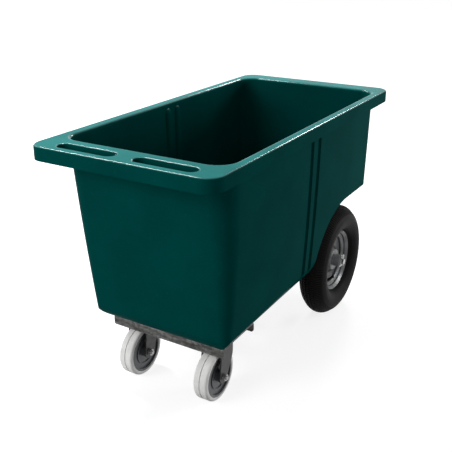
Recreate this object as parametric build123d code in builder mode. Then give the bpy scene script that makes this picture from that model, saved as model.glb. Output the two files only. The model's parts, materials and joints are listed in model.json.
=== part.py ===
from build123d import *
import os
from math import atan2, cos, degrees, radians, sin, sqrt, tan

# Feed trolley: a moulded tub with a handle rim, on two large wheels and two swivel casters.
# Millimetres. The origin is on the floor, at the centre of the rim's outline.
# +Y points to the large wheels, -Y to the handle end, and +Z up.

os.makedirs("parts", exist_ok=True)

# Tub: rim and walls
tub_length = 1230.0
tub_width = 600.0
tub_height = 795.0
wall = 8.0
rim_depth = 40.0
rim_wall = 7.0
rim_corner = 50.0
rim_round = 6.0
mouth_round = 12.0
side_overhang = 27.0
handle_overhang = 100.0
rear_overhang = 63.0
front_draft = 5.7
rear_draft = 5.0
corner_top = 64.0
corner_waist = 48.0
corner_foot = 22.0

# Tub: how far each side wall draws in from its top, at two levels, handle end and wheel end
waist_level = 500.0
waist_draw_front = 12.0
waist_draw_rear = 3.0
foot_draw_front = 39.0
foot_draw_rear = 11.0

# Tub: underside
tub_floor = 208.0
heel_round = 62.0
bilge_round = 105.0
bilge_draw = 16.0
bilge_end_angle = 15.0
knee_round = 105.0
arch_gap = 36.0
tail_round = 28.0
arch_edge_round = 28.0
arch_edge_draw = 28.0

# Tub: grooves in the side walls, and hand slots in the rim
groove_radius = 12.0
groove_depth = 8.0
groove_middle = 23.0
groove_spacing = 54.0
groove_foot_spacing = 44.0
groove_top_gap = 22.0
slot_length = 192.0
slot_width = 38.0
slot_spacing = 254.0
slot_from_edge = 48.0
slot_round = 5.0
slot_collar_wall = 5.0

# Large wheels
wheel_radius = 203.0
wheel_width = 100.0
half_track = 218.0
wheel_from_tail = 294.0
tyre_wall = 8.0
tyre_widest = 155.0
tread_half = 30.0
shoulder_drop = 13.0
tread_groove_width = 5.0
tread_groove_depth = 5.0
tread_groove_spacing = 14.0
bead_radius = 101.5
bead_half = 15.0
bead_width = 7.0
flange_radius = 112.0
flange_half = 22.0
rim_sheet = 3.0
rim_bend = 3.5
ledge_half = 10.0
well_radius = 88.0
well_half = 5.0
dish_depth = 16.0
dish_outer_radius = 52.0
dish_inner_radius = 38.0
hub_outer_radius = 22.0
hub_inner_radius = 16.0
hub_length = 84.0
bearing_length = 24.0
tube_wall = 2.5
tube_gap = 0.2
valve_radius = 4.5
valve_length = 40.0
valve_seat = 8.0
valve_lean = 42.0
valve_turn = 225.0

# Axle
axle_radius = 10.0
axle_overrun = 9.0
spacer_radius = 15.0
washer_radius = 19.0
washer_thickness = 3.0
pin_radius = 2.0
pin_length = 34.0
pin_inset = 4.5
pin_eye_radius = 4.5

# Fits
running_gap = 0.06
side_gap = 0.4
slip_gap = 0.1

# Chassis
channel_length = 402.0
channel_width = 180.0
channel_height = 33.0
channel_sheet = 5.0
channel_bend = 9.0
channel_corner = 7.0
channel_from_handle = 290.0
rail_spacing = 200.0
rail_width = 50.0
rail_height = 30.0
rail_wall = 3.0
rail_corner = 4.0
rail_rear_overrun = 100.0
cross_tube_from_axle = 131.0
cross_tube_width = 30.0
leg_sheet = 6.0
leg_foot_width = 180.0
leg_head_width = 120.0
leg_window_radius = 34.0
leg_window_level = 315.0
leg_window_from_axle = 35.0
saddle_sheet = 5.0

# Casters
caster_radius = 80.0
caster_spacing = 276.0
caster_trail = 46.0
caster_width = 47.0
caster_tyre_depth = 13.0
caster_groove_width = 5.0
caster_groove_depth = 3.0
caster_tyre_round = 7.0
caster_rim_half = 24.0
caster_rim_depth = 7.0
caster_hub_radius = 19.0
caster_hub_length = 62.0
caster_web = 38.0
caster_ring_radius = 40.0
caster_ring_wall = 3.0
caster_ring_half = 22.0
caster_bearing_wall = 4.5
caster_spacer_radius = 9.5
caster_spacer_wall = 3.2
plate_length = 135.0
plate_width = 105.0
plate_sheet = 4.0
plate_corner = 8.0
plate_hole_length = 105.0
plate_hole_width = 80.0
race_outer = 36.0
race_inner = 22.0
race_depth = 8.0
ball_radius = 4.0
ball_circle = 29.0
ball_count = 12
ball_gap = 5.0
kingpin_radius = 8.0
kingpin_head_radius = 15.0
kingpin_head_height = 5.0
fork_sheet = 4.0
fork_half_width = 36.0
fork_end_radius = 21.0
fork_bend = 7.0
fork_front = 50.0
fork_rear = 13.0
fork_heel_radius = 30.0
fork_heel_level = 152.0
fork_crown_depth = 9.0
caster_bolt_radius = 6.0
caster_bolt_head = 7.5

# Fasteners
tub_bolt_radius = 5.0
tub_bolt_head = 13.0
tub_bolt_dome = 4.5
tub_bolt_round = 4.0
tub_bolt_spacing_x = 120.0
tub_bolt_spacing_y = 110.0
saddle_bolt_spacing_x = 170.0
saddle_bolt_spacing_y = 80.0
bolt_hole_gap = 0.5
bolt_end = 4.0
tub_washer_radius = 12.0
tub_washer_thickness = 2.5
caster_screw_radius = 4.0
caster_screw_head = 8.0
caster_screw_cone = 4.0
nut_height_ratio = 0.8
nut_corner_ratio = 0.96

# Levels and places that follow
rim_bottom = tub_height - rim_depth
handle_wall_y = -tub_length / 2 + handle_overhang
rear_wall_y = tub_length / 2 - rear_overhang
top_half = tub_width / 2 - side_overhang
waist_half_front = top_half - waist_draw_front
waist_half_rear = top_half - waist_draw_rear
foot_half_front = top_half - foot_draw_front
foot_half_rear = top_half - foot_draw_rear
bilge_half_width = top_half - bilge_draw
arch_edge_half = top_half - arch_edge_draw
wheel_y = tub_length / 2 - wheel_from_tail
wheel_z = wheel_radius
arch_radius = wheel_radius + arch_gap
raised_floor = wheel_z + arch_radius
channel_top = tub_floor
channel_underside = channel_top - channel_sheet
channel_y = -tub_length / 2 + channel_from_handle
channel_rear = channel_y + channel_width / 2
rail_top = tub_floor
rail_middle = rail_top - rail_height / 2
rail_bottom = rail_top - rail_height
rail_rear = wheel_y + rail_rear_overrun
leg_inner_x = rail_spacing / 2 + rail_width / 2
leg_outer_x = leg_inner_x + leg_sheet
cross_tube_y = wheel_y - cross_tube_from_axle
leg_window_y = wheel_y + leg_window_from_axle
saddle_y = wheel_y + leg_head_width / 2
saddle_underside = raised_floor - saddle_sheet
hub_outer_end = half_track + hub_length / 2
axle_half = hub_outer_end + side_gap + washer_thickness + axle_overrun
pin_x = axle_half - pin_inset
plate_top = channel_underside
plate_bottom = plate_top - plate_sheet
race_face = plate_bottom - race_depth
crown_face = race_face - ball_gap
ball_z = race_face - ball_gap / 2
crown_underside = crown_face - fork_sheet
caster_y = channel_y - caster_trail
caster_bore = caster_radius - caster_tyre_depth
leg_gap_half = fork_half_width - fork_sheet
roller_inner_radius = caster_spacer_radius + running_gap
roller_outer_radius = roller_inner_radius + caster_bearing_wall
tub_nut_height = 2 * tub_bolt_radius * nut_height_ratio
screw_nut_height = 2 * caster_screw_radius * nut_height_ratio
caster_nut_height = 2 * caster_bolt_radius * nut_height_ratio
far = tub_length

SIDES = (("left", -1), ("right", 1))

# Where the tub is bolted down: place, floor, plate below it, and the spacings of four bolts
BOLTINGS = (
    (channel_y, tub_floor, channel_sheet, tub_bolt_spacing_x, tub_bolt_spacing_y),
    (saddle_y, raised_floor, saddle_sheet, saddle_bolt_spacing_x, saddle_bolt_spacing_y),
)


def front_wall(level):
    """Place of the handle-end wall at a level."""
    return handle_wall_y + (tub_height - level) * tan(radians(front_draft))


def rear_wall(level):
    """Place of the wheel-end wall at a level."""
    return rear_wall_y - (tub_height - level) * tan(radians(rear_draft))


def side_wall(y, level, half_front, half_rear):
    """Half width of the tub at a place along its length, at one of the three levels."""
    share = (y - front_wall(level)) / (rear_wall(level) - front_wall(level))
    return half_front + (half_rear - half_front) * share


def wall_section(level, half_front, half_rear, corner, inset):
    """One level of the tub's walls, moved inwards by the inset."""
    front = front_wall(level) + inset
    rear = rear_wall(level) - inset
    with BuildSketch(Plane.XY.offset(level)) as section:
        with BuildLine():
            Polyline(
                (half_front - inset, front),
                (half_rear - inset, rear),
                (inset - half_rear, rear),
                (inset - half_front, front),
                close=True,
            )
        make_face()
        fillet(section.vertices(), corner - inset)
    return section.sketch


def side_outline(inset):
    """The tub seen from the side: heel, deep floor, knee, wheel arch, raised floor and tail."""
    heel_z = tub_floor + heel_round
    heel_y = front_wall(heel_z) + heel_round
    heel = heel_round - inset
    knee_z = tub_floor + knee_round
    reach = arch_radius + knee_round
    knee_y = wheel_y - sqrt(reach**2 - (knee_z - wheel_z) ** 2)
    knee = knee_round - inset
    arch = arch_radius + inset
    turn = degrees(atan2(knee_z - wheel_z, wheel_y - knee_y))
    tail_z = raised_floor + tail_round
    tail_y = rear_wall(tail_z) - tail_round
    tail = tail_round - inset
    with BuildSketch(Plane.YZ.offset(-tub_width / 2)) as outline:
        with BuildLine():
            Line((-far, tub_height + far), (heel_y - heel, heel_z))
            CenterArc((heel_y, heel_z), heel, 180, 90)
            Line((heel_y, tub_floor + inset), (knee_y, tub_floor + inset))
            CenterArc((knee_y, knee_z), knee, 270, 90 - turn)
            CenterArc((wheel_y, wheel_z), arch, 180 - turn, turn - 90)
            Line((wheel_y, raised_floor + inset), (tail_y, raised_floor + inset))
            CenterArc((tail_y, tail_z), tail, 270, 90)
            Line((tail_y + tail, tail_z), (far, tub_height + far))
            Line((far, tub_height + far), (-far, tub_height + far))
        make_face()
    return outline.sketch


def end_outline(inset):
    """The tub seen from its end: a flat floor that turns up into the side walls."""
    bilge_x = bilge_half_width - bilge_round
    bilge_z = tub_floor + bilge_round
    bilge = bilge_round - inset
    end_x = bilge_x + bilge * cos(radians(bilge_end_angle))
    end_z = bilge_z - bilge * sin(radians(bilge_end_angle))
    top_z = tub_height + far
    top_x = end_x + (top_z - end_z) * tan(radians(bilge_end_angle))
    with BuildSketch(Plane.XZ.offset(-tub_length / 2)) as outline:
        with BuildLine():
            Line((-bilge_x, tub_floor + inset), (bilge_x, tub_floor + inset))
            CenterArc((bilge_x, bilge_z), bilge, 270, 90 - bilge_end_angle)
            Line((end_x, end_z), (top_x, top_z))
            Line((top_x, top_z), (-top_x, top_z))
            Line((-top_x, top_z), (-end_x, end_z))
            CenterArc((-bilge_x, bilge_z), bilge, 180 + bilge_end_angle, 90 - bilge_end_angle)
        make_face()
    return outline.sketch


def groove(end, side, radius):
    """A round channel down a side wall, with a ball end under the rim."""
    off = groove_radius - groove_depth
    top = tub_height - groove_top_gap - groove_radius
    waist_share = (waist_level - tub_floor) / (tub_height - tub_floor)
    waist_spacing = groove_foot_spacing + (groove_spacing - groove_foot_spacing) * waist_share
    y_top = groove_middle + end * groove_spacing / 2
    y_waist = groove_middle + end * waist_spacing / 2
    y_foot = groove_middle + end * groove_foot_spacing / 2
    x_top = side_wall(y_top, tub_height, top_half, top_half) + off
    x_waist = side_wall(y_waist, waist_level, waist_half_front, waist_half_rear) + off
    x_foot = side_wall(y_foot, tub_floor, foot_half_front, foot_half_rear) + off
    with BuildPart() as channel:
        with BuildSketch(Plane((side * x_foot, y_foot, tub_floor))):
            Circle(radius)
        with BuildSketch(Plane((side * x_waist, y_waist, waist_level))):
            Circle(radius)
        with BuildSketch(Plane((side * x_top, y_top, tub_height))):
            Circle(radius)
        loft()
        split(bisect_by=Plane.XY.offset(top), keep=Keep.BOTTOM)
        with Locations((side * x_top, y_top, top)):
            Sphere(radius)
    return channel.part


def arch_edges(inset):
    """What rounds the lower edges of the side walls, over the wheel arch and back to the tail."""
    start = wheel_z + arch_radius + inset
    centre = wheel_z + arch_radius + arch_edge_round
    edge_round = arch_edge_round - inset
    edge_x = arch_edge_half + edge_round
    with BuildSketch(Plane.XZ.offset(-wheel_y)) as outline:
        with BuildLine():
            CenterArc((arch_edge_half, centre), edge_round, 270, 90)
            Line((edge_x, centre), (far, centre))
            Line((far, centre), (far, start))
            Line((far, start), (arch_edge_half, start))
        make_face()
        mirror(about=Plane.YZ)
    return outline.sketch


def bolt_circles(y, level, spacing_x, spacing_y, radius):
    """Four circles, one at each bolt place."""
    with BuildSketch(Plane((0, y, level))) as circles:
        with GridLocations(spacing_x, spacing_y, 2, 2):
            Circle(radius)
    return circles.sketch


def bolt_hexagons(y, level, spacing_x, spacing_y, radius):
    """Four hexagons for nuts, with their bolt holes."""
    with BuildSketch(Plane((0, y, level))) as hexagons:
        with GridLocations(spacing_x, spacing_y, 2, 2):
            RegularPolygon(2 * radius * nut_corner_ratio, 6)
            Circle(radius + slip_gap, mode=Mode.SUBTRACT)
    return hexagons.sketch


def folded_sheet(plane, width, height, sheet, bend):
    """The end of a folded plate: a flat top with a flange turned down on each side."""
    with BuildSketch(plane) as section:
        with Locations((0, -height)):
            RectangleRounded(width, 2 * height, bend)
        with Locations((0, -height - sheet)):
            RectangleRounded(width - 2 * sheet, 2 * height, bend - sheet, mode=Mode.SUBTRACT)
        with Locations((0, -height / 2)):
            Rectangle(width, height, mode=Mode.INTERSECT)
    return section.sketch


def wheel_section(x, y, z, side):
    """A plane through an axle: its x runs outboard along the axle, its y away from it."""
    return Plane(origin=(x, y, z), x_dir=(side, 0, 0), z_dir=(0, -side, 0))


def band(plane, start, end, inner, outer):
    """A rectangle in a wheel's section, between two places on the axle and two radii."""
    with BuildSketch(plane) as section:
        with Locations(((start + end) / 2, (inner + outer) / 2)):
            Rectangle(end - start, outer - inner)
    return section.sketch


def pressed_sheet(plane, points, sheet, bend):
    """A sheet that follows a bent line in a wheel's section."""
    with BuildSketch(plane) as section:
        with BuildLine():
            FilletPolyline(*points, radius=bend)
            offset(amount=sheet, side=Side.RIGHT)
        make_face()
    return section.sketch


def tub_form(inset):
    """The tub as a closed form, its skin moved inwards by the inset."""
    sections = [
        wall_section(tub_floor, foot_half_front, foot_half_rear, corner_foot, inset),
        wall_section(waist_level, waist_half_front, waist_half_rear, corner_waist, inset),
        wall_section(tub_height, top_half, top_half, corner_top, inset),
    ]
    side_view = side_outline(inset)
    end_view = end_outline(inset)
    grooves = [groove(end, side, groove_radius + inset) for end in (-1, 1) for side in (-1, 1)]
    edges = arch_edges(inset)
    with BuildPart() as form:
        loft(sections)
        extrude(side_view, amount=tub_width, mode=Mode.INTERSECT)
        extrude(end_view, amount=tub_length, mode=Mode.INTERSECT)
        revolve(edges, axis=Axis((0, wheel_y, wheel_z), (1, 0, 0)), mode=Mode.SUBTRACT)
        extrude(edges, amount=-far, mode=Mode.SUBTRACT)
        add(grooves, mode=Mode.SUBTRACT)
    return form.part


# Rim: a flat top with a turned-down skirt, and two hand slots with collars
slot_y = -tub_length / 2 + slot_from_edge
slot_places = [(-slot_spacing / 2, slot_y), (slot_spacing / 2, slot_y)]
with BuildPart() as rim_cap:
    with BuildSketch(Plane.XY.offset(rim_bottom)):
        RectangleRounded(tub_width, tub_length, rim_corner)
    extrude(amount=rim_depth)
    fillet(rim_cap.faces().sort_by(Axis.Z)[-1].edges(), rim_round)
    with BuildSketch(Plane.XY.offset(rim_bottom)):
        RectangleRounded(tub_width - 2 * rim_wall, tub_length - 2 * rim_wall, rim_corner - rim_wall)
        with Locations(*slot_places):
            SlotOverall(
                slot_length + 2 * slot_collar_wall,
                slot_width + 2 * slot_collar_wall,
                mode=Mode.SUBTRACT,
            )
    extrude(amount=rim_depth - rim_wall, mode=Mode.SUBTRACT)
    with BuildSketch(Plane.XY.offset(rim_bottom)):
        with Locations(*slot_places):
            SlotOverall(slot_length, slot_width)
    extrude(amount=rim_depth, mode=Mode.SUBTRACT)
    slot_edges = rim_cap.faces().sort_by(Axis.Z)[-1].inner_wires().edges()
    fillet(slot_edges, slot_round)

tub_outside = tub_form(0.0)
tub_inside = tub_form(wall)

with BuildPart() as tub:
    add(tub_outside)
    add(rim_cap.part)
    add(tub_inside, mode=Mode.SUBTRACT)
    mouth = tub.faces().sort_by(Axis.Z)[-1].inner_wires().sort_by(SortBy.LENGTH)[-1]
    fillet(mouth.edges(), mouth_round)
    for y, floor, sheet, spacing_x, spacing_y in BOLTINGS:
        holes = bolt_circles(y, floor, spacing_x, spacing_y, tub_bolt_radius + bolt_hole_gap)
        extrude(holes, amount=wall, mode=Mode.SUBTRACT)

tub.part.label = "tub"
export_step(tub.part, "parts/tub.step")

# Front channel: a folded plate across the tub, which carries both casters
screw_places = [(side * caster_spacing / 2, channel_y, channel_top) for name, side in SIDES]
channel_end = Plane((-channel_length / 2, channel_y, channel_top), x_dir=(0, 1, 0), z_dir=(1, 0, 0))
channel_holes = bolt_circles(
    channel_y, channel_underside, tub_bolt_spacing_x, tub_bolt_spacing_y, tub_bolt_radius + bolt_hole_gap
)
with BuildPart() as front_channel:
    extrude(
        folded_sheet(channel_end, channel_width, channel_height, channel_sheet, channel_bend),
        amount=channel_length,
    )
    fillet(front_channel.edges().filter_by(Axis.Y).group_by(Axis.Z)[0], channel_corner)
    extrude(channel_holes, amount=channel_sheet, mode=Mode.SUBTRACT)
    with Locations(*screw_places):
        with GridLocations(plate_hole_width, plate_hole_length, 2, 2):
            Cylinder(
                caster_screw_radius + bolt_hole_gap,
                channel_sheet,
                align=(Align.CENTER, Align.CENTER, Align.MAX),
                mode=Mode.SUBTRACT,
            )
            Cone(
                caster_screw_radius + slip_gap,
                caster_screw_head + slip_gap,
                caster_screw_cone,
                align=(Align.CENTER, Align.CENTER, Align.MAX),
                mode=Mode.SUBTRACT,
            )

front_channel.part.label = "front_channel"
export_step(front_channel.part, "parts/front_channel.step")

# Rails: two box tubes from the channel back to the axle, drilled for the axle
for name, side in SIDES:
    with BuildPart() as rail:
        rail_end = (side * rail_spacing / 2, rail_rear, rail_middle)
        with BuildSketch(Plane(rail_end, x_dir=(1, 0, 0), z_dir=(0, -1, 0))):
            RectangleRounded(rail_width, rail_height, rail_corner)
            RectangleRounded(
                rail_width - 2 * rail_wall,
                rail_height - 2 * rail_wall,
                rail_corner - rail_wall,
                mode=Mode.SUBTRACT,
            )
        extrude(amount=rail_rear - channel_rear)
        with Locations((side * rail_spacing / 2, wheel_y, wheel_z)):
            Cylinder(
                axle_radius + slip_gap, rail_width, rotation=(0, 90, 0), mode=Mode.SUBTRACT
            )
    rail.part.label = f"rail_{name}"
    export_step(rail.part, f"parts/rail_{name}.step")

# Cross tube: a short box tube between the rails
cross_tube_half = rail_spacing / 2 - rail_width / 2
with BuildPart() as cross_tube:
    tube_end = (-cross_tube_half, cross_tube_y, rail_middle)
    with BuildSketch(Plane(tube_end, x_dir=(0, 1, 0), z_dir=(1, 0, 0))):
        RectangleRounded(cross_tube_width, rail_height, rail_corner)
        RectangleRounded(
            cross_tube_width - 2 * rail_wall,
            rail_height - 2 * rail_wall,
            rail_corner - rail_wall,
            mode=Mode.SUBTRACT,
        )
    extrude(amount=2 * cross_tube_half)

cross_tube.part.label = "cross_tube"
export_step(cross_tube.part, "parts/cross_tube.step")

# Rear legs: tapered plates on the rails, drilled for the axle, that carry the raised floor
for name, side in SIDES:
    with BuildPart() as rear_leg:
        with BuildSketch(Plane.YZ.offset(side * leg_inner_x)):
            with BuildLine():
                Polyline(
                    (wheel_y - leg_foot_width / 2, rail_bottom),
                    (wheel_y + leg_foot_width / 2, rail_bottom),
                    (saddle_y + leg_head_width / 2, saddle_underside),
                    (saddle_y - leg_head_width / 2, saddle_underside),
                    close=True,
                )
            make_face()
            with Locations((wheel_y, wheel_z)):
                Circle(axle_radius + slip_gap, mode=Mode.SUBTRACT)
            with Locations((leg_window_y, leg_window_level)):
                Circle(leg_window_radius, mode=Mode.SUBTRACT)
        extrude(amount=side * leg_sheet)
    rear_leg.part.label = f"rear_leg_{name}"
    export_step(rear_leg.part, f"parts/rear_leg_{name}.step")

# Saddle: a flat plate on the two legs, bolted under the raised floor
saddle_holes = bolt_circles(
    saddle_y,
    saddle_underside,
    saddle_bolt_spacing_x,
    saddle_bolt_spacing_y,
    tub_bolt_radius + bolt_hole_gap,
)
with BuildPart() as saddle:
    with BuildSketch(Plane((0, saddle_y, saddle_underside))):
        Rectangle(2 * leg_outer_x, leg_head_width)
    extrude(amount=saddle_sheet)
    extrude(saddle_holes, amount=saddle_sheet, mode=Mode.SUBTRACT)

saddle.part.label = "saddle_plate"
export_step(saddle.part, "parts/saddle_plate.step")

# Tub bolts: mushroom heads inside the tub, with a washer and a nut below each plate
tub_bolts = []
tub_washers = []
tub_nuts = []
for y, floor, sheet, spacing_x, spacing_y in BOLTINGS:
    washer_top = floor - sheet
    nut_top = washer_top - tub_washer_thickness
    shank = wall + sheet + tub_washer_thickness + tub_nut_height + bolt_end
    with BuildPart() as bolts:
        heads = bolt_circles(y, floor + wall, spacing_x, spacing_y, tub_bolt_head)
        extrude(heads, amount=tub_bolt_dome)
        fillet(bolts.edges().group_by(Axis.Z)[-1], tub_bolt_round)
        shanks = bolt_circles(y, floor + wall, spacing_x, spacing_y, tub_bolt_radius)
        extrude(shanks, amount=-shank)
    with BuildPart() as washers:
        discs = bolt_circles(y, washer_top, spacing_x, spacing_y, tub_washer_radius)
        extrude(discs, amount=-tub_washer_thickness)
        holes = bolt_circles(y, washer_top, spacing_x, spacing_y, tub_bolt_radius + slip_gap)
        extrude(holes, amount=-tub_washer_thickness, mode=Mode.SUBTRACT)
    with BuildPart() as nuts:
        hexagons = bolt_hexagons(y, nut_top, spacing_x, spacing_y, tub_bolt_radius)
        extrude(hexagons, amount=-tub_nut_height)
    tub_bolts.extend(bolts.part.solids())
    tub_washers.extend(washers.part.solids())
    tub_nuts.extend(nuts.part.solids())

for name, solids in (("tub_bolts", tub_bolts), ("tub_washers", tub_washers), ("tub_nuts", tub_nuts)):
    export_step(Compound(label=name, children=solids), f"parts/{name}.step")

# Caster screws and nuts: sunk heads, flush with the top of the channel
with BuildPart() as caster_screws:
    with Locations(*screw_places):
        with GridLocations(plate_hole_width, plate_hole_length, 2, 2):
            Cone(
                caster_screw_radius,
                caster_screw_head,
                caster_screw_cone,
                align=(Align.CENTER, Align.CENTER, Align.MAX),
            )
            Cylinder(
                caster_screw_radius,
                channel_sheet + plate_sheet + screw_nut_height + bolt_end,
                align=(Align.CENTER, Align.CENTER, Align.MAX),
            )

caster_screws.part.label = "caster_screws"
export_step(caster_screws.part, "parts/caster_screws.step")

with BuildPart() as caster_nuts:
    for name, side in SIDES:
        with BuildSketch(Plane((side * caster_spacing / 2, channel_y, plate_bottom))):
            with GridLocations(plate_hole_width, plate_hole_length, 2, 2):
                RegularPolygon(2 * caster_screw_radius * nut_corner_ratio, 6)
                Circle(caster_screw_radius + slip_gap, mode=Mode.SUBTRACT)
    extrude(amount=-screw_nut_height)

caster_nuts.part.label = "caster_nuts"
export_step(caster_nuts.part, "parts/caster_nuts.step")

# Axle: one round bar through the rails and legs, drilled for a split pin at each end
with BuildPart() as axle:
    with Locations((0, wheel_y, wheel_z)):
        Cylinder(axle_radius, 2 * axle_half, rotation=(0, 90, 0))
    with Locations((-pin_x, wheel_y, wheel_z), (pin_x, wheel_y, wheel_z)):
        Cylinder(pin_radius + slip_gap, 2 * axle_radius, mode=Mode.SUBTRACT)

axle.part.label = "axle"
export_step(axle.part, "parts/axle.step")

axle_line = Axis((0, wheel_y, wheel_z), (1, 0, 0))
inner_washer = half_track - hub_length / 2 - side_gap - washer_thickness
outer_washer = half_track + hub_length / 2 + side_gap
with BuildPart() as axle_washers:
    for name, side in SIDES:
        section = wheel_section(0, wheel_y, wheel_z, side)
        for start in (inner_washer, outer_washer):
            washer = band(
                section, start, start + washer_thickness, axle_radius + slip_gap, washer_radius
            )
            revolve(washer, axis=axle_line)

axle_washers.part.label = "axle_washers"
export_step(axle_washers.part, "parts/axle_washers.step")

with BuildPart() as split_pins:
    with Locations((-pin_x, wheel_y, wheel_z), (pin_x, wheel_y, wheel_z)):
        Cylinder(pin_radius, pin_length)
        with Locations((0, 0, pin_length / 2 + pin_eye_radius)):
            Torus(pin_eye_radius, pin_radius, rotation=(0, 90, 0))

split_pins.part.label = "split_pins"
export_step(split_pins.part, "parts/split_pins.step")

# Large wheels, one set on each side
shoulder = wheel_radius - shoulder_drop
groove_steps = (-1.5, -0.5, 0.5, 1.5)


def tyre_form(plane, inset):
    """The tyre's cross section as one closed face, moved inwards by the inset."""
    with BuildSketch(plane) as outline:
        with BuildLine():
            ThreePointArc((-tread_half, shoulder), (0, wheel_radius), (tread_half, shoulder))
            ThreePointArc(
                (tread_half, shoulder), (wheel_width / 2, tyre_widest), (flange_half, flange_radius)
            )
            FilletPolyline(
                (flange_half, flange_radius),
                (bead_half, bead_radius),
                (-bead_half, bead_radius),
                (-flange_half, flange_radius),
                radius=rim_bend,
            )
            ThreePointArc(
                (-flange_half, flange_radius), (-wheel_width / 2, tyre_widest), (-tread_half, shoulder)
            )
        make_face()
        offset(amount=-inset, kind=Kind.INTERSECTION)
    return outline.sketch


for name, side in SIDES:
    section = wheel_section(side * half_track, wheel_y, wheel_z, side)

    spacer = band(
        wheel_section(0, wheel_y, wheel_z, side),
        leg_outer_x,
        inner_washer,
        axle_radius + slip_gap,
        spacer_radius,
    )
    with BuildPart() as axle_spacer:
        revolve(spacer, axis=axle_line)
    axle_spacer.part.label = f"axle_spacer_{name}"
    export_step(axle_spacer.part, f"parts/axle_spacer_{name}.step")

    with BuildPart() as tyre:
        revolve(tyre_form(section, 0.0), axis=axle_line)
        revolve(tyre_form(section, tyre_wall), axis=axle_line, mode=Mode.SUBTRACT)
        mouth_half = bead_half - bead_width
        opening = band(section, -mouth_half, mouth_half, bead_radius, bead_radius + tyre_wall)
        revolve(opening, axis=axle_line, mode=Mode.SUBTRACT)
        for step in groove_steps:
            middle = step * tread_groove_spacing
            crown = wheel_radius - shoulder_drop * (middle / tread_half) ** 2
            tread_groove = band(
                section,
                middle - tread_groove_width / 2,
                middle + tread_groove_width / 2,
                crown - tread_groove_depth,
                wheel_radius,
            )
            revolve(tread_groove, axis=axle_line, mode=Mode.SUBTRACT)
    tyre.part.label = f"wheel_tyre_{name}"
    export_step(tyre.part, f"parts/wheel_tyre_{name}.step")

    with BuildPart() as inner_tube:
        revolve(tyre_form(section, tyre_wall + tube_gap), axis=axle_line)
        tube_hollow = tyre_form(section, tyre_wall + tube_gap + tube_wall)
        revolve(tube_hollow, axis=axle_line, mode=Mode.SUBTRACT)
    inner_tube.part.label = f"inner_tube_{name}"
    export_step(inner_tube.part, f"parts/inner_tube_{name}.step")

    turn = radians(valve_turn)
    lean = radians(valve_lean)
    valve_foot = (
        side * (half_track + valve_seat),
        wheel_y + (well_radius + valve_radius) * cos(turn),
        wheel_z + (well_radius + valve_radius) * sin(turn),
    )
    valve_line = (side * sin(lean), -cos(lean) * cos(turn), -cos(lean) * sin(turn))
    with BuildPart() as valve:
        with BuildSketch(Plane(valve_foot, z_dir=valve_line)):
            Circle(valve_radius)
        extrude(amount=valve_length)
    valve.part.label = f"valve_{name}"
    export_step(valve.part, f"parts/valve_{name}.step")

    barrel = pressed_sheet(
        section,
        [
            (-flange_half, flange_radius),
            (-bead_half, bead_radius),
            (-ledge_half, bead_radius),
            (-well_half, well_radius),
            (well_half, well_radius),
            (ledge_half, bead_radius),
            (bead_half, bead_radius),
            (flange_half, flange_radius),
        ],
        rim_sheet,
        rim_bend,
    )
    disc = pressed_sheet(
        section,
        [
            (0, well_radius - rim_sheet),
            (0, dish_outer_radius),
            (dish_depth, dish_inner_radius),
            (dish_depth, hub_outer_radius),
        ],
        rim_sheet,
        rim_bend,
    )
    with BuildPart() as rim:
        revolve(barrel, axis=axle_line)
        revolve(disc, axis=axle_line)
        with BuildSketch(Plane(valve_foot, z_dir=valve_line)):
            Circle(valve_radius + slip_gap)
        extrude(amount=valve_length, both=True, mode=Mode.SUBTRACT)
    rim.part.label = f"wheel_rim_{name}"
    export_step(rim.part, f"parts/wheel_rim_{name}.step")

    hub_half = hub_length / 2
    with BuildPart() as hub:
        revolve(
            band(section, -hub_half, hub_half, hub_inner_radius, hub_outer_radius), axis=axle_line
        )
    hub.part.label = f"wheel_hub_{name}"
    export_step(hub.part, f"parts/wheel_hub_{name}.step")

    insert_inner = axle_radius + running_gap
    insert_outer = hub_inner_radius - slip_gap
    insert_start = hub_half - bearing_length
    inserts = [
        band(section, -hub_half, -insert_start, insert_inner, insert_outer),
        band(section, insert_start, hub_half, insert_inner, insert_outer),
    ]
    with BuildPart() as bearings:
        revolve(inserts, axis=axle_line)
    bearings.part.label = f"wheel_bearings_{name}"
    export_step(bearings.part, f"parts/wheel_bearings_{name}.step")

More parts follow.
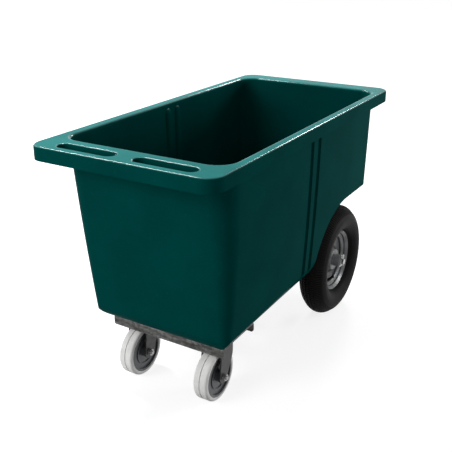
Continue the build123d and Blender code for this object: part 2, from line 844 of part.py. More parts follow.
# Casters, one on each side
for name, side in SIDES:
    pivot_x = side * caster_spacing / 2
    pivot = (pivot_x, channel_y)

    with BuildPart() as plate:
        with BuildSketch(Plane((*pivot, plate_bottom))):
            RectangleRounded(plate_width, plate_length, plate_corner)
        extrude(amount=plate_sheet)
        with BuildSketch(Plane((*pivot, plate_bottom))):
            Circle(race_outer)
            Circle(race_inner, mode=Mode.SUBTRACT)
        extrude(amount=-race_depth)
        with Locations((*pivot, ball_z)):
            Torus(ball_circle, ball_radius + running_gap, mode=Mode.SUBTRACT)
        with BuildSketch(Plane((*pivot, plate_bottom))):
            Circle(kingpin_radius + slip_gap)
            with GridLocations(plate_hole_width, plate_hole_length, 2, 2):
                Circle(caster_screw_radius + bolt_hole_gap)
        extrude(amount=plate_sheet, mode=Mode.SUBTRACT)
    plate.part.label = f"caster_plate_{name}"
    export_step(plate.part, f"parts/caster_plate_{name}.step")

    with BuildPart() as kingpin:
        with BuildSketch(Plane((*pivot, crown_underside - side_gap))):
            Circle(kingpin_radius)
        extrude(amount=plate_top - crown_underside + side_gap)
        with BuildSketch(Plane((*pivot, crown_underside - side_gap))):
            Circle(kingpin_head_radius)
        extrude(amount=-kingpin_head_height)
    kingpin.part.label = f"kingpin_{name}"
    export_step(kingpin.part, f"parts/kingpin_{name}.step")

    with BuildPart() as balls:
        with Locations((*pivot, ball_z)):
            with PolarLocations(ball_circle, ball_count):
                Sphere(ball_radius)
    balls.part.label = f"swivel_balls_{name}"
    export_step(balls.part, f"parts/swivel_balls_{name}.step")

    fork_reach = caster_trail + fork_end_radius
    crown_end = Plane(
        (pivot_x, channel_y + fork_half_width, crown_face), x_dir=(1, 0, 0), z_dir=(0, -1, 0)
    )
    fork_height = crown_face - caster_radius + fork_end_radius
    fork_fold = folded_sheet(crown_end, 2 * fork_half_width, fork_height, fork_sheet, fork_bend)
    with BuildSketch(Plane.YZ.offset(pivot_x - fork_half_width)) as fork_side:
        with Locations((caster_y, caster_radius)):
            Circle(fork_end_radius)
        with Locations((channel_y + fork_rear - fork_heel_radius, fork_heel_level)):
            Circle(fork_heel_radius)
        with Locations((channel_y - fork_front, crown_face)):
            Rectangle(
                fork_front + fork_rear,
                crown_face - fork_heel_level,
                align=(Align.MIN, Align.MAX),
            )
        make_hull()
        with Locations((channel_y - fork_front, crown_face)):
            Rectangle(
                fork_front + fork_half_width, fork_crown_depth, align=(Align.MIN, Align.MAX)
            )
    with BuildSketch(Plane.XY) as fork_plan:
        with Locations(pivot):
            Circle(fork_half_width)
            Rectangle(2 * fork_half_width, fork_reach, align=(Align.CENTER, Align.MAX))
    with BuildPart() as fork:
        extrude(fork_fold, amount=fork_half_width + fork_reach)
        extrude(fork_side.sketch, amount=2 * fork_half_width, mode=Mode.INTERSECT)
        extrude(fork_plan.sketch, amount=crown_face, mode=Mode.INTERSECT)
        with Locations((*pivot, ball_z)):
            Torus(ball_circle, ball_radius + running_gap, mode=Mode.SUBTRACT)
        with Locations((*pivot, crown_underside)):
            Cylinder(
                kingpin_radius + running_gap,
                fork_sheet,
                align=(Align.CENTER, Align.CENTER, Align.MIN),
                mode=Mode.SUBTRACT,
            )
        with Locations((pivot_x, caster_y, caster_radius)):
            Cylinder(
                caster_bolt_radius + slip_gap,
                2 * fork_half_width,
                rotation=(0, 90, 0),
                mode=Mode.SUBTRACT,
            )
    fork.part.label = f"caster_fork_{name}"
    export_step(fork.part, f"parts/caster_fork_{name}.step")

    section = wheel_section(pivot_x, caster_y, caster_radius, 1)
    caster_line = Axis((pivot_x, caster_y, caster_radius), (1, 0, 0))

    bolt_face = Plane((pivot_x - fork_half_width, caster_y, caster_radius), z_dir=(1, 0, 0))
    with BuildPart() as caster_bolt:
        with BuildSketch(bolt_face):
            RegularPolygon(2 * caster_bolt_radius * nut_corner_ratio, 6)
        extrude(amount=-caster_bolt_head)
        with BuildSketch(bolt_face):
            Circle(caster_bolt_radius)
        extrude(amount=2 * fork_half_width + caster_nut_height + bolt_end)
    caster_bolt.part.label = f"caster_bolt_{name}"
    export_step(caster_bolt.part, f"parts/caster_bolt_{name}.step")

    with BuildPart() as caster_nut:
        with BuildSketch(bolt_face.offset(2 * fork_half_width)):
            RegularPolygon(2 * caster_bolt_radius * nut_corner_ratio, 6)
            Circle(caster_bolt_radius + slip_gap, mode=Mode.SUBTRACT)
        extrude(amount=caster_nut_height)
    caster_nut.part.label = f"caster_nut_{name}"
    export_step(caster_nut.part, f"parts/caster_nut_{name}.step")

    spacer_inner = caster_spacer_radius - caster_spacer_wall
    caster_tube = band(section, -leg_gap_half, leg_gap_half, spacer_inner, caster_spacer_radius)
    with BuildPart() as caster_spacer:
        revolve(caster_tube, axis=caster_line)
    caster_spacer.part.label = f"caster_spacer_{name}"
    export_step(caster_spacer.part, f"parts/caster_spacer_{name}.step")

    hub_half = caster_hub_length / 2
    roller = band(section, -hub_half, hub_half, roller_inner_radius, roller_outer_radius)
    with BuildPart() as caster_bearing:
        revolve(roller, axis=caster_line)
    caster_bearing.part.label = f"caster_bearing_{name}"
    export_step(caster_bearing.part, f"parts/caster_bearing_{name}.step")

    web_half = caster_web / 2
    rim_inner = caster_bore - caster_rim_depth
    ring_outer = caster_ring_radius + caster_ring_wall
    wheel_bands = [
        band(section, -hub_half, hub_half, roller_outer_radius + slip_gap, caster_hub_radius),
        band(section, -web_half, web_half, roller_outer_radius + slip_gap, caster_bore),
        band(section, -caster_ring_half, caster_ring_half, caster_ring_radius, ring_outer),
        band(section, -caster_rim_half, caster_rim_half, rim_inner, caster_bore),
    ]
    with BuildPart() as caster_wheel:
        revolve(wheel_bands, axis=caster_line)
    caster_wheel.part.label = f"caster_wheel_{name}"
    export_step(caster_wheel.part, f"parts/caster_wheel_{name}.step")

    tyre_half = caster_width / 2
    groove_half = caster_groove_width / 2
    groove_floor = caster_radius - caster_groove_depth
    with BuildPart() as caster_tyre:
        revolve(band(section, -tyre_half, tyre_half, caster_bore, caster_radius), axis=caster_line)
        outer_edges = caster_tyre.edges().filter_by(GeomType.CIRCLE).group_by(SortBy.RADIUS)[-1]
        fillet(outer_edges, caster_tyre_round)
        groove_band = band(section, -groove_half, groove_half, groove_floor, caster_radius)
        revolve(groove_band, axis=caster_line, mode=Mode.SUBTRACT)
    caster_tyre.part.label = f"caster_tyre_{name}"
    export_step(caster_tyre.part, f"parts/caster_tyre_{name}.step")
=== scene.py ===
# %% [markdown]
# # Feed trolley: a moulded tub on wheels
# This lesson dresses a ready-made frame of solid parts for a photo-like picture.
# Lengths are in metres. +Y runs from the handle end to the large wheels, +X is the
# trolley's right side, and the floor is at z = 0.

# %% Load the frame
import json
from math import atan2, cos, pi, radians, sin, sqrt

import bpy
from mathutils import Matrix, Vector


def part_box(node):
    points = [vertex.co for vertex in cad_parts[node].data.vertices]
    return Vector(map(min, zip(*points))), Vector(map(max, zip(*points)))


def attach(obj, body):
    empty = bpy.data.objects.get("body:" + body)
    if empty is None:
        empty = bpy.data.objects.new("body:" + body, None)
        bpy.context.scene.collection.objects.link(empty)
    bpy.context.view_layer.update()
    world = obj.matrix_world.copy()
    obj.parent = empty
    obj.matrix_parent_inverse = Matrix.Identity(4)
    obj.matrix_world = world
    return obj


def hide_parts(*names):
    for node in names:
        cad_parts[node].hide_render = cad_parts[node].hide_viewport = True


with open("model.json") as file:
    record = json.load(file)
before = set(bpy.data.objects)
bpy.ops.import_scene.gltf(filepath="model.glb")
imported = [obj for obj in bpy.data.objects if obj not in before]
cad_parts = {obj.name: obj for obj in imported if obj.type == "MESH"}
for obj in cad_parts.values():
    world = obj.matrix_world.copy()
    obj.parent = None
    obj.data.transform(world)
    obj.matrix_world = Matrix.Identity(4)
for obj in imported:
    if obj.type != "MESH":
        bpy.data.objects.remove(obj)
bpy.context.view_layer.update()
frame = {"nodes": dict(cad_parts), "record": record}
print("nodes:", len(frame["nodes"]))

# %% [markdown]
# The camera comes first, because every later choice is judged through it. Its place,
# turn and lens were solved from the straight edges of the rim, the tub and the channel.
# A small shift moves the picture without turning the camera.

# %% Camera
camera_data = bpy.data.cameras.new("photo_camera")
camera_data.sensor_fit = "HORIZONTAL"
camera_data.sensor_width = 36.0
camera_data.lens = 56.45
camera_data.shift_x = -0.0246
camera_data.shift_y = -0.0534
camera = bpy.data.objects.new("photo_camera", camera_data)
camera.location = (1.1167, -1.9187, 1.3204)
camera.rotation_euler = (radians(69.480), radians(-0.128), radians(30.164))
scene = bpy.context.scene
scene.collection.objects.link(camera)
scene.camera = camera
scene.view_settings.view_transform = "Standard"
print("camera:", tuple(round(value, 3) for value in camera.location), "lens", camera_data.lens)

# %% [markdown]
# Colours are picked as sRGB hex codes, as in any paint program, but shaders work with
# linear light. One function turns the one into the other.

# %% Colour helper
def linear(hex_code):
    """Turns an sRGB hex code into linear red, green, blue and alpha."""
    shares = [int(hex_code[i:i + 2], 16) / 255 for i in (0, 2, 4)]
    return [c / 12.92 if c <= 0.04045 else ((c + 0.055) / 1.055) ** 2.4 for c in shares] + [1.0]


print("mid grey in linear light:", [round(value, 3) for value in linear("808080")])

# %% [markdown]
# A material is a small graph of nodes. One helper adds a node, sets it up and joins it
# to the nodes before it. Another starts a material with its main shader.

# %% Material helpers
MM = 0.001


def add(tree, kind, inputs=(), **settings):
    """Adds one node. Inputs pair a socket with a value or with another node's output."""
    node = tree.nodes.new(kind)
    for key, value in settings.items():
        setattr(node, key, value)
    for key, value in dict(inputs).items():
        if isinstance(value, bpy.types.NodeSocket):
            tree.links.new(value, node.inputs[key])
        else:
            node.inputs[key].default_value = value
    return node


def start(title, **values):
    """A new material and its main shader, with that shader's plain values set."""
    material = bpy.data.materials.new(title)
    material.use_nodes = True
    shader = material.node_tree.nodes["Principled BSDF"]
    for name, value in values.items():
        shader.inputs[name.replace("_", " ")].default_value = value
    return material, material.node_tree, shader


def ramp(tree, factor, stops):
    """Turns a grey pattern into colours: stops pair a place from 0 to 1 with a colour."""
    node = add(tree, "ShaderNodeValToRGB", {"Fac": factor})
    elements = node.color_ramp.elements
    while len(elements) < len(stops):
        elements.new(1.0)
    for element, (place, colour) in zip(elements, stops):
        element.position = place
        element.color = colour
    return node.outputs["Color"]


def grey(level):
    """A grey for a ramp that drives a number, such as a roughness."""
    return (level, level, level, 1.0)


# %% [markdown]
# The tub is rotomoulded polyethylene: powder melts against a hot, turning mould and
# shrinks as it cools. It comes out waxy, with faint clouds of colour and small paler
# specks. Two noise patterns give those, one broad and one fine. Its IOR is about 1.51.

# %% Rotomoulded polyethylene
CLOUD = 160 * MM
SPECK = 9 * MM
material, tree, shader = start("rotomoulded_polyethylene", IOR=1.51)
place = add(tree, "ShaderNodeTexCoord").outputs["Object"]
clouds = add(tree, "ShaderNodeTexNoise", {"Vector": place, "Scale": 1 / CLOUD, "Detail": 4.0})
specks = add(tree, "ShaderNodeTexNoise", {"Vector": place, "Scale": 1 / SPECK, "Detail": 3.0})
body_colour = ramp(tree, clouds.outputs["Fac"], [(0.3, linear("003B39")), (0.7, linear("00423F"))])
speck_mask = ramp(tree, specks.outputs["Fac"], [(0.62, grey(0.0)), (0.8, grey(0.35))])
mixed = add(
    tree, "ShaderNodeMixRGB",
    {"Fac": speck_mask, "Color1": body_colour, "Color2": linear("08564F")},
)
print("clouds of", round(CLOUD / MM), "mm with specks of", round(SPECK / MM), "mm")

# %% [markdown]
# The rim's top is given a paler teal, a painted highlight for the light that falls on it from
# above. A mask finds that place: high enough to be the rim, and with a surface that faces upward.

# %% Painted highlight on the rim's top
RIM_STARTS = 735 * MM
RIM_FULL = 765 * MM
height = add(tree, "ShaderNodeSeparateXYZ", {"Vector": place})
facing = add(
    tree, "ShaderNodeSeparateXYZ",
    {"Vector": add(tree, "ShaderNodeNewGeometry").outputs["Normal"]},
)
upward = add(
    tree, "ShaderNodeMapRange",
    {"Value": facing.outputs["Z"], "From Min": 0.55, "From Max": 0.95},
)
rim_zone = add(
    tree, "ShaderNodeMapRange",
    {"Value": height.outputs["Z"], "From Min": RIM_STARTS, "From Max": RIM_FULL},
)
# Painted highlight mask: the rim's upward faces, where a paler colour stands in for light from
# above.
painted_lighter = add(
    tree, "ShaderNodeMath",
    {0: upward.outputs["Result"], 1: rim_zone.outputs["Result"]}, operation="MULTIPLY",
)
# Painted highlight: the paler teal of the rim's lit top.
painted_top_light = ramp(tree, clouds.outputs["Fac"], [(0.35, linear("0A6664")), (0.65, linear("147270"))])
body = add(
    tree, "ShaderNodeMixRGB",
    {"Fac": painted_lighter.outputs["Value"], "Color1": mixed.outputs["Color"], "Color2": painted_top_light},
)
tree.links.new(body.outputs["Color"], shader.inputs["Base Color"])
# The heights over which the rim's top takes its painted highlight.
print("the rim is worn from", round(RIM_STARTS, 3), "to", round(RIM_FULL, 3), "m up")

# %% [markdown]
# The walls hardly reflect, so their specular level is close to nothing. Only the rim's
# rounded edges are rubbed smooth, and there the level rises, which leaves thin bright
# lines along them. Last comes the orange-peel skin, as a shallow bump.

# %% Shine and skin
DULL = 0.001
FLAT_TOP = 0.012
RUBBED = 0.22
PEEL = 3.5 * MM  # the real skin is nearer 1 mm, too fine to show at this size
rough = ramp(tree, clouds.outputs["Fac"], [(0.3, grey(0.16)), (0.7, grey(0.24))])
tree.links.new(rough, shader.inputs["Roughness"])
rubbed_edges = ramp(
    tree, facing.outputs["Z"],
    [(0.5, grey(DULL)), (0.82, grey(RUBBED)), (0.965, grey(RUBBED)), (0.99, grey(FLAT_TOP))],
)
handled = add(
    tree, "ShaderNodeMapRange",
    {"Value": rim_zone.outputs["Result"], "To Min": DULL, "To Max": rubbed_edges},
)
tree.links.new(handled.outputs["Result"], shader.inputs["Specular IOR Level"])
peel = add(tree, "ShaderNodeTexNoise", {"Vector": place, "Scale": 1 / PEEL, "Detail": 2.0})
skin = add(
    tree, "ShaderNodeBump",
    {"Height": peel.outputs["Fac"], "Strength": 0.25, "Distance": 0.25 * MM},
)
tree.links.new(skin.outputs["Normal"], shader.inputs["Normal"])
tub_plastic = material
print("made", tub_plastic.name)

# %% [markdown]
# The channel and the hidden frame are hot-dip galvanised steel. As the zinc freezes it
# leaves spangles, flat crystals of slightly different grey, which a Voronoi pattern
# gives, its borders bent by a noise. Stains run along the channel, so their pattern is
# stretched that way. A metal keeps the default IOR and is fully metallic.

# %% Galvanised steel
material, tree, shader = start("hot_dip_galvanised_steel", Metallic=1.0, Roughness=0.5)
place = add(tree, "ShaderNodeTexCoord").outputs["Object"]
SPANGLE = 9 * MM
STAIN = 9 * MM
STRETCH = 0.15
BEND = 14 * MM
BEND_REACH = 6 * MM
drawn = add(
    tree, "ShaderNodeVectorMath", {0: place, 1: (STRETCH, 1.0, 1.0)}, operation="MULTIPLY"
).outputs["Vector"]
bent = add(tree, "ShaderNodeTexNoise", {"Vector": place, "Scale": 1 / BEND, "Detail": 2.0})
shifted = add(
    tree, "ShaderNodeVectorMath",
    {0: bent.outputs["Color"], 1: (BEND_REACH,) * 3, 2: place}, operation="MULTIPLY_ADD",
)
cells = add(
    tree, "ShaderNodeTexVoronoi", {"Vector": shifted.outputs["Vector"], "Scale": 1 / SPANGLE}
)
grain = add(tree, "ShaderNodeSeparateColor", {"Color": cells.outputs["Color"]})
stain = add(tree, "ShaderNodeTexNoise", {"Vector": drawn, "Scale": 1 / STAIN, "Detail": 5.0})
spangles = ramp(tree, grain.outputs["Red"], [(0.0, linear("4A4A4A")), (1.0, linear("6C6C6B"))])
stains = ramp(tree, stain.outputs["Fac"], [(0.35, linear("8A8885")), (0.65, linear("FFFFFF"))])
zinc = add(
    tree, "ShaderNodeMixRGB", {"Fac": 0.8, "Color1": spangles, "Color2": stains},
    blend_type="MULTIPLY",
)
tree.links.new(zinc.outputs["Color"], shader.inputs["Base Color"])
rough = ramp(tree, grain.outputs["Green"], [(0.0, grey(0.42)), (1.0, grey(0.62))])
tree.links.new(rough, shader.inputs["Roughness"])
skin = add(
    tree, "ShaderNodeBump",
    {"Height": stain.outputs["Fac"], "Strength": 0.3, "Distance": 0.4 * MM},
)
tree.links.new(skin.outputs["Normal"], shader.inputs["Normal"])
frame_steel = material
print("made", frame_steel.name)

# %% [markdown]
# Forks, plates, nuts and bolts are pressed or turned steel with a thin, bright zinc
# plating. It shows long drawing marks and a cloudy sheen. The same recipe serves several
# greys, so it is a function.

# %% Zinc-plated steel
def zinc_plated(title, dark, light, low, high, grain_mm):
    """Plated steel between two greys, with a roughness from low to high."""
    material, tree, shader = start(title, Metallic=1.0)
    place = add(tree, "ShaderNodeTexCoord").outputs["Object"]
    sheen = add(
        tree, "ShaderNodeTexNoise",
        {"Vector": place, "Scale": 1 / (grain_mm * MM), "Detail": 6.0, "Roughness": 0.6},
    )
    colour = ramp(tree, sheen.outputs["Fac"], [(0.3, linear(dark)), (0.7, linear(light))])
    tree.links.new(colour, shader.inputs["Base Color"])
    rough = ramp(tree, sheen.outputs["Fac"], [(0.3, grey(low)), (0.7, grey(high))])
    tree.links.new(rough, shader.inputs["Roughness"])
    skin = add(
        tree, "ShaderNodeBump",
        {"Height": sheen.outputs["Fac"], "Strength": 0.15, "Distance": 0.2 * MM},
    )
    tree.links.new(skin.outputs["Normal"], shader.inputs["Normal"])
    return material


caster_steel = zinc_plated("zinc_plated_pressed_steel", "363636", "505050", 0.34, 0.5, 16)
fastener_steel = zinc_plated("zinc_plated_fastener_steel", "868686", "A6A6A6", 0.3, 0.45, 5)
axle_steel = zinc_plated("turned_bright_steel", "8B8B89", "A9A9A6", 0.22, 0.34, 8)
hub_steel = zinc_plated("zinc_plated_hub_steel", "9A9C9E", "B4B6B8", 0.35, 0.5, 10)
ball_steel = zinc_plated("polished_ball_steel", "C4C4C4", "D8D8D8", 0.08, 0.12, 4)
print("made", caster_steel.name, fastener_steel.name, axle_steel.name)

# %% [markdown]
# The large wheels' rims are pressed steel with silver wheel paint: aluminium flakes in
# a clear lacquer. The flakes give a metallic grey, and the lacquer a soft coat.

# %% Silver wheel paint
FLAKE = 2 * MM  # real flakes are far finer, too fine to show at this size
DUST = 30 * MM
material, tree, shader = start(
    "silver_painted_pressed_steel", Metallic=0.85, Coat_Weight=0.35, Coat_Roughness=0.25
)
place = add(tree, "ShaderNodeTexCoord").outputs["Object"]
flake = add(tree, "ShaderNodeTexNoise", {"Vector": place, "Scale": 1 / FLAKE, "Detail": 2.0})
dust = add(tree, "ShaderNodeTexNoise", {"Vector": place, "Scale": 1 / DUST, "Detail": 5.0})
silver = ramp(tree, flake.outputs["Fac"], [(0.3, linear("3E4042")), (0.7, linear("545658"))])
grime = ramp(tree, dust.outputs["Fac"], [(0.4, linear("B8B4AE")), (0.6, linear("FFFFFF"))])
painted = add(
    tree, "ShaderNodeMixRGB", {"Fac": 0.6, "Color1": silver, "Color2": grime},
    blend_type="MULTIPLY",
)
tree.links.new(painted.outputs["Color"], shader.inputs["Base Color"])
rough = ramp(tree, dust.outputs["Fac"], [(0.4, grey(0.5)), (0.6, grey(0.34))])
tree.links.new(rough, shader.inputs["Roughness"])
rim_paint = material
print("made", rim_paint.name)

# %% [markdown]
# Tyres are vulcanised rubber filled with carbon black. New rubber is nearly black with
# a dull sheen, and dust sits in it as broad, faintly lighter patches. The IOR of rubber
# is about 1.52. The casters' grey tread is rubber without the carbon.

# %% Black tyre rubber
BLOOM = 38 * MM


def rubber(title, dark, light, low, high, grain_mm, bump_mm, shine=0.05):
    """Moulded rubber between two tones, with a matt, slightly grainy skin."""
    material, tree, shader = start(title, IOR=1.52, Specular_IOR_Level=shine)
    place = add(tree, "ShaderNodeTexCoord").outputs["Object"]
    bloom = add(
        tree, "ShaderNodeTexNoise", {"Vector": place, "Scale": 1 / BLOOM, "Detail": 6.0}
    )
    fine = add(
        tree, "ShaderNodeTexNoise", {"Vector": place, "Scale": 1 / (grain_mm * MM), "Detail": 3.0}
    )
    colour = ramp(tree, bloom.outputs["Fac"], [(0.35, linear(dark)), (0.7, linear(light))])
    tree.links.new(colour, shader.inputs["Base Color"])
    rough = ramp(tree, fine.outputs["Fac"], [(0.3, grey(low)), (0.7, grey(high))])
    tree.links.new(rough, shader.inputs["Roughness"])
    skin = add(
        tree, "ShaderNodeBump",
        {"Height": fine.outputs["Fac"], "Strength": 0.35, "Distance": bump_mm * MM},
    )
    tree.links.new(skin.outputs["Normal"], shader.inputs["Normal"])
    return material


tyre_rubber = rubber("vulcanised_black_rubber", "0A0A0A", "141413", 0.5, 0.68, 2.5, 0.3)
tube_rubber = rubber("butyl_tube_rubber", "121212", "1A1A1A", 0.55, 0.7, 3, 0.2)
valve_rubber = rubber("moulded_valve_rubber", "0B0B0B", "121212", 0.4, 0.5, 3, 0.1)
tread_rubber = rubber("grey_non_marking_rubber", "E4E4E2", "F2F2F0", 0.45, 0.6, 3, 0.2)
print("made", tyre_rubber.name, tread_rubber.name)

# %% [markdown]
# The casters' wheel centres are injection-moulded polypropylene in dark grey, with a
# fine spark-eroded texture, and the bearing inserts are plain nylon. Both are moulded
# like the rubber, so its recipe serves, with a smoother skin and, for polypropylene,
# more shine and an IOR of 1.49.

# %% Moulded wheel plastics
wheel_plastic = rubber(
    "injection_moulded_polypropylene", "3E4144", "4E5154", 0.26, 0.36, 2, 0.05, shine=0.5
)
wheel_plastic.node_tree.nodes["Principled BSDF"].inputs["IOR"].default_value = 1.49
nylon = rubber("moulded_nylon", "D2CDBE", "DEDACD", 0.35, 0.5, 2, 0.1)
print("made", wheel_plastic.name, nylon.name)

# %% [markdown]
# Each ready-made part names a material slot in its record. The new materials go onto
# those slots, so every part is finished, also those that only show when a wheel turns.

# %% Dress the parts
FINISHES = {
    "tub_plastic": tub_plastic,
    "frame_steel": frame_steel,
    "axle_steel": axle_steel,
    "zinc_fasteners": fastener_steel,
    "caster_steel": caster_steel,
    "ball_steel": ball_steel,
    "caster_core": wheel_plastic,
    "caster_tread": tread_rubber,
    "tyre_rubber": tyre_rubber,
    "tube_rubber": tube_rubber,
    "rim_steel": rim_paint,
    "hub_steel": hub_steel,
    "bearing_plastic": nylon,
    "valve_rubber": valve_rubber,
}
for part in frame["record"]["subparts"]:
    node = frame["nodes"][part["node"]]
    finish = FINISHES[part["material_slot"]]
    for number in range(len(node.material_slots)):
        node.material_slots[number].material = finish
    if not node.material_slots:
        node.data.materials.append(finish)

# %% [markdown]
# A pneumatic tyre is moulded, so its tread blocks are part of the tyre. The solid part
# has the tyre's outline and its four round grooves. Here the tyre is turned again from
# the same outline as a fine grid of vertices, and the vertices that fall in a cut
# between two blocks are pulled in. That gives real blocks without any cutting tool.

# %% The tyre's outline
low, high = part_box("wheel_tyre_right")
TYRE_RADIUS = (high[2] - low[2]) / 2
TYRE_HALF = 50 * MM
WHEEL_MIDDLE = ((low[0] + high[0]) / 2, (low[1] + high[1]) / 2, (low[2] + high[2]) / 2)
TREAD_HALF = 30 * MM
SHOULDER = TYRE_RADIUS - 13 * MM
WIDEST = 155 * MM
FLANGE_HALF = 22 * MM
FLANGE = 112 * MM
BEAD_HALF = 15 * MM
BEAD = 101.5 * MM
BEAD_WIDTH = 7 * MM
SKIN = 8 * MM
WALL_POINTS = 19
RING_HEIGHT = 0.9 * MM
RINGS = (7, 15)
SHOULDER_CUTS = 3


def arc_through(first, middle, last, count):
    """Points on the circle through three points, from the first to the last."""
    (ax, ay), (bx, by), (cx, cy) = first, middle, last
    twice = 2 * (ax * (by - cy) + bx * (cy - ay) + cx * (ay - by))
    a, b, c = ax * ax + ay * ay, bx * bx + by * by, cx * cx + cy * cy
    ox = (a * (by - cy) + b * (cy - ay) + c * (ay - by)) / twice
    oy = (a * (cx - bx) + b * (ax - cx) + c * (bx - ax)) / twice
    radius = sqrt((ax - ox) ** 2 + (ay - oy) ** 2)
    start_angle = atan2(ay - oy, ax - ox)
    sweep = atan2(cy - oy, cx - ox) - start_angle
    if sweep > pi:
        sweep -= 2 * pi
    if sweep < -pi:
        sweep += 2 * pi
    steps = [start_angle + sweep * i / (count - 1) for i in range(count)]
    return [(ox + radius * cos(step), oy + radius * sin(step)) for step in steps]


def crown(across):
    """The tread's radius at a distance across from its middle."""
    bow = (TREAD_HALF ** 2 + (TYRE_RADIUS - SHOULDER) ** 2) / (2 * (TYRE_RADIUS - SHOULDER))
    return TYRE_RADIUS - bow + sqrt(bow ** 2 - across ** 2)


print("tyre:", round(2 * TYRE_RADIUS / MM), "mm across")

# %% [markdown]
# A station is one point of the tyre's section: its place across, its radius, and the
# kind of cut that crosses it. Neighbouring rows of blocks are cut at different angles,
# and a station in a round groove, on the bead or inside the tyre isn't cut at all.

# %% Tread stations
PITCHES = 130
CUT_DEPTH = 3.5 * MM
GROOVE_HALF = 2.2 * MM
GROOVE_SPACING = 14 * MM
WALL = 0.6 * MM
GROOVES = [step * GROOVE_SPACING for step in (-1.5, -0.5, 0.5, 1.5)]
LAST_ROW = len(GROOVES)
EVEN, ODD, ROUND = 0, 1, 2


def tread_stations():
    """Stations across the tread: place, radius and which set of cuts each belongs to."""
    edges = [-TREAD_HALF] + GROOVES + [TREAD_HALF]
    found = []
    for row in range(LAST_ROW + 1):
        start_x = edges[row] + (GROOVE_HALF if row > 0 else 0.0)
        end_x = edges[row + 1] - (GROOVE_HALF if row < LAST_ROW else 0.0)
        for share in (0.0, 0.5, 1.0):
            across = start_x + (end_x - start_x) * share
            found.append((across, crown(across), row % 2))
        if row < LAST_ROW:
            for across in (end_x + WALL, edges[row + 1] + GROOVE_HALF - WALL):
                found.append((across, crown(across) - CUT_DEPTH, ROUND))
    return found


def wall_stations():
    """Stations down one sidewall: shoulder blocks, then two thin moulded rings."""
    found = []
    points = arc_through(
        (TREAD_HALF, SHOULDER), (TYRE_HALF, WIDEST), (FLANGE_HALF, FLANGE), WALL_POINTS
    )
    for number, (across, radius) in enumerate(points[1:], start=1):
        ring = RING_HEIGHT if number in RINGS else 0.0
        found.append((across + ring, radius, EVEN if number <= SHOULDER_CUTS else ROUND))
    return found


right_wall = wall_stations()
left_wall = [(-across, radius, kind) for across, radius, kind in reversed(right_wall)]
inner_points = [
    (BEAD_HALF, BEAD), (BEAD_HALF - BEAD_WIDTH, BEAD), (BEAD_HALF - BEAD_WIDTH, BEAD + SKIN),
    (TYRE_HALF - SKIN, WIDEST), (TREAD_HALF - SKIN, SHOULDER - SKIN),
]
inner_right = [(across, radius, ROUND) for across, radius in inner_points]
inner_left = [(-across, radius, kind) for across, radius, kind in reversed(inner_right)]
STATIONS = left_wall + tread_stations() + right_wall + inner_right + inner_left
print("tyre section:", len(STATIONS), "stations")

# %% [markdown]
# Four angles per half pitch mark where a block starts, ends, and where the cut's floor
# starts and ends. Every second row is shifted by half a pitch, so the same angles serve
# both. The grid then closes on itself both round the wheel and round the section.

# %% Turn the tyres
SHARP_EDGE = radians(35)
SHARES = (0.0, 0.14, 0.18, 0.46, 0.5, 0.64, 0.68, 0.96)
CUT_IN = {EVEN: (0.68, 0.96), ODD: (0.18, 0.46), ROUND: ()}


def blocked_tyre(title, middle_x):
    """A closed tyre mesh with tread blocks, centred at a place along the axle."""
    turns = [(number + share, share) for number in range(PITCHES) for share in SHARES]
    verts = []
    for turn, share in turns:
        angle = 2 * pi * turn / PITCHES
        for across, radius, kind in STATIONS:
            reach = radius - (CUT_DEPTH if share in CUT_IN[kind] else 0.0)
            verts.append((
                middle_x + across,
                WHEEL_MIDDLE[1] + reach * cos(angle),
                WHEEL_MIDDLE[2] + reach * sin(angle),
            ))
    width = len(STATIONS)
    faces = []
    for row in range(len(turns)):
        after = (row + 1) % len(turns)
        for column in range(width):
            beside = (column + 1) % width
            faces.append((
                row * width + column, after * width + column,
                after * width + beside, row * width + beside,
            ))
    mesh = bpy.data.meshes.new(title)
    mesh.from_pydata(verts, [], faces)
    mesh.validate()
    mesh.shade_smooth()
    mesh.set_sharp_from_angle(angle=SHARP_EDGE)
    tyre = bpy.data.objects.new(title, mesh)
    scene.collection.objects.link(tyre)
    mesh.materials.append(tyre_rubber)
    return tyre


for side in ("left", "right"):
    low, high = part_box(f"wheel_tyre_{side}")
    tyre = blocked_tyre(f"block_tread_tyre_{side}", (low[0] + high[0]) / 2)
    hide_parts(f"wheel_tyre_{side}")
    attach(tyre, f"wheel_{side}")
    print(tyre.name, "has", len(tyre.data.polygons), "faces")

# %% [markdown]
# The trolley stands on a white ground, but white light from all sides would wash its
# colours out. Light Path tells a shader which kind of ray asks, so the camera and
# mirror-like reflections can see white while the trolley gets light at a plain level.

# %% Rays that show the background
WHITE = (1.0, 1.0, 1.0, 1.0)


def background_rays(tree):
    """One for the rays that show the background: camera, glossy and transmission rays."""
    path = add(tree, "ShaderNodeLightPath")
    first = add(
        tree, "ShaderNodeMath",
        {0: path.outputs["Is Camera Ray"], 1: path.outputs["Is Glossy Ray"]}, operation="MAXIMUM",
    )
    both = add(
        tree, "ShaderNodeMath",
        {0: first.outputs["Value"], 1: path.outputs["Is Transmission Ray"]}, operation="MAXIMUM",
    )
    return both.outputs["Value"]


print("white as the background shows it:", WHITE[:3])

# %% [markdown]
# The world does two jobs. As a background it is white with a strength of 1, and as a
# light it is a weak, even fill that keeps the shadows from going black.

# %% Pale world
FILL = 0.28
world = bpy.data.worlds.new("pale_studio")
world.use_nodes = True
scene.world = world
tree = world.node_tree
sky = tree.nodes["Background"]
sky.inputs["Color"].default_value = WHITE
sky.inputs["Strength"].default_value = FILL
white = add(tree, "ShaderNodeBackground", {"Color": WHITE, "Strength": 1.0})
mix = add(
    tree, "ShaderNodeMixShader",
    {0: background_rays(tree), 1: sky.outputs["Background"], 2: white.outputs["Background"]},
)
tree.links.new(mix.outputs["Shader"], tree.nodes["World Output"].inputs["Surface"])
print("world fills at strength", FILL)

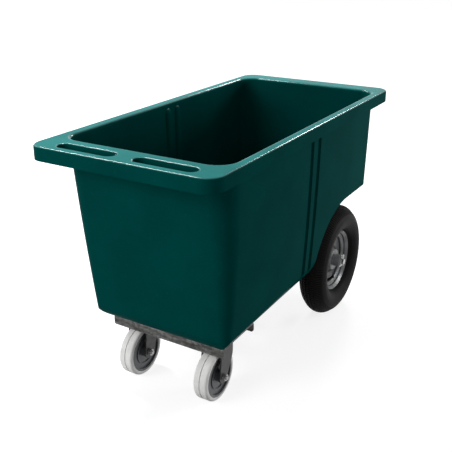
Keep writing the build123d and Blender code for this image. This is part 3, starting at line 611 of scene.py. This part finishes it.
# %% [markdown]
# The floor is mid grey for the light that falls on it, so it holds the trolley's shadow.
# For the background rays a glow is added. Near the trolley it falls short of white and
# leaves the shadow in sight, and further out it rises until the floor is lost in white.

# %% Floor
HALF_FLOOR = 12.0
FADE_STARTS, FADE_ENDS = 1.0, 2.6
NEAR_GLOW, FAR_GLOW = 0.8, 1.0
floor_mesh = bpy.data.meshes.new("studio_floor")
corners = [(x * HALF_FLOOR, y * HALF_FLOOR, 0.0) for x, y in ((-1, -1), (1, -1), (1, 1), (-1, 1))]
floor_mesh.from_pydata(corners, [], [(0, 1, 2, 3)])
floor = bpy.data.objects.new("studio_floor", floor_mesh)
scene.collection.objects.link(floor)
material, tree, shader = start("pale_floor", Roughness=0.9)
shader.inputs["Base Color"].default_value = linear("9C9C9C")
place = add(tree, "ShaderNodeTexCoord").outputs["Object"]
reach = add(tree, "ShaderNodeVectorMath", {0: place}, operation="LENGTH")
fade = add(
    tree, "ShaderNodeMapRange",
    {
        "Value": reach.outputs["Value"], "From Min": FADE_STARTS, "From Max": FADE_ENDS,
        "To Min": NEAR_GLOW, "To Max": FAR_GLOW,
    },
)
glow = add(tree, "ShaderNodeEmission", {"Color": WHITE, "Strength": fade.outputs["Result"]})
lit = add(
    tree, "ShaderNodeAddShader", {0: shader.outputs["BSDF"], 1: glow.outputs["Emission"]}
)
shown = add(
    tree, "ShaderNodeMixShader",
    {0: background_rays(tree), 1: shader.outputs["BSDF"], 2: lit.outputs["Shader"]},
)
tree.links.new(shown.outputs["Shader"], tree.nodes["Material Output"].inputs["Surface"])
floor.data.materials.append(material)
print("floor turns white", FADE_ENDS, "m from the middle")

# %% [markdown]
# Four lamps light the trolley. A narrow strip above the left side draws the thin bright
# lines along the rim's rounded edges, and a small lamp behind lights the rim's far side.
# Two large soft lamps, in front and at the right, fill the walls without hard shadows.

# %% Lamps
def softbox(title, place, aim, size, power):
    """A lamp of a width and height at a place, turned towards another."""
    lamp_data = bpy.data.lights.new(title, "AREA")
    lamp_data.shape = "RECTANGLE"
    lamp_data.size, lamp_data.size_y = size
    lamp_data.energy = power
    lamp = bpy.data.objects.new(title, lamp_data)
    lamp.location = place
    across = sqrt((aim[0] - place[0]) ** 2 + (aim[1] - place[1]) ** 2)
    drop = atan2(place[2] - aim[2], across)
    turn = atan2(aim[1] - place[1], aim[0] - place[0])
    lamp.rotation_euler = (pi / 2 - drop, 0.0, turn - pi / 2)
    scene.collection.objects.link(lamp)


softbox("left_strip", (-2.3, 1.0, 3.2), (-2.3, -0.4, 0.8), (2.0, 0.3), 210.0)
softbox("rear_softbox", (-0.5, 3.3, 2.4), (0.1, 0.0, 0.7), (0.6, 0.6), 45.0)
softbox("front_softbox", (-1.3, -3.2, 1.9), (0.0, -0.4, 0.3), (1.6, 1.6), 72.0)
softbox("side_softbox", (3.2, 2.6, 1.2), (0.2, 0.4, 0.4), (1.2, 1.2), 72.0)
